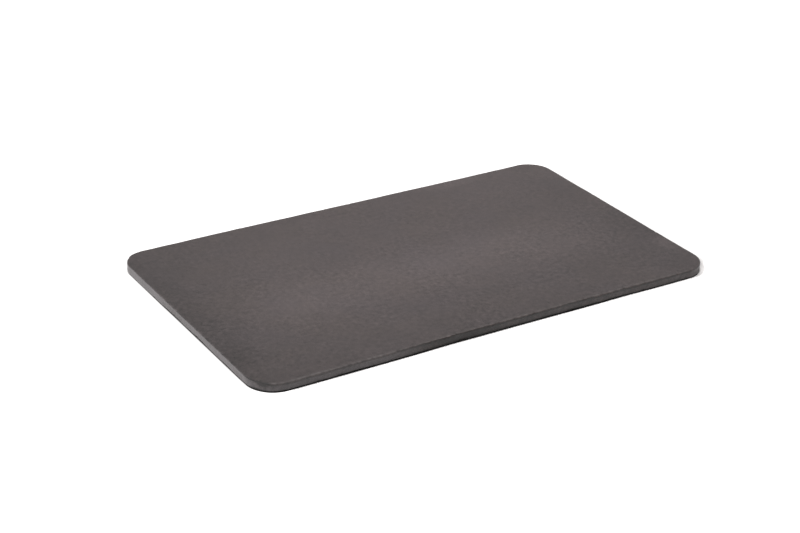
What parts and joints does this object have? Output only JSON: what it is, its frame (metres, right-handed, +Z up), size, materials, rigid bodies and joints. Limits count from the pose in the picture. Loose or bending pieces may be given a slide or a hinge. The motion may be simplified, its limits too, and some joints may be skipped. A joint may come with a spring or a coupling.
{
  "type": "basalt massage stone",
  "caption": "Thin rectangular honed basalt slab with rounded corners and eased edges, warmed or chilled and laid on the body in massage.",
  "frame": {"origin": "centre of the slab's underside", "axes": "+X along the long side, +Y along the short side, +Z up through the thickness; the slightly hollow long edge faces -Y"},
  "size_m": [0.25, 0.149, 0.0047],
  "materials": {
    "basalt": "honed"
  },
  "bodies": {
    "root": {"stone_slab": "basalt"}
  },
  "joints": []
}
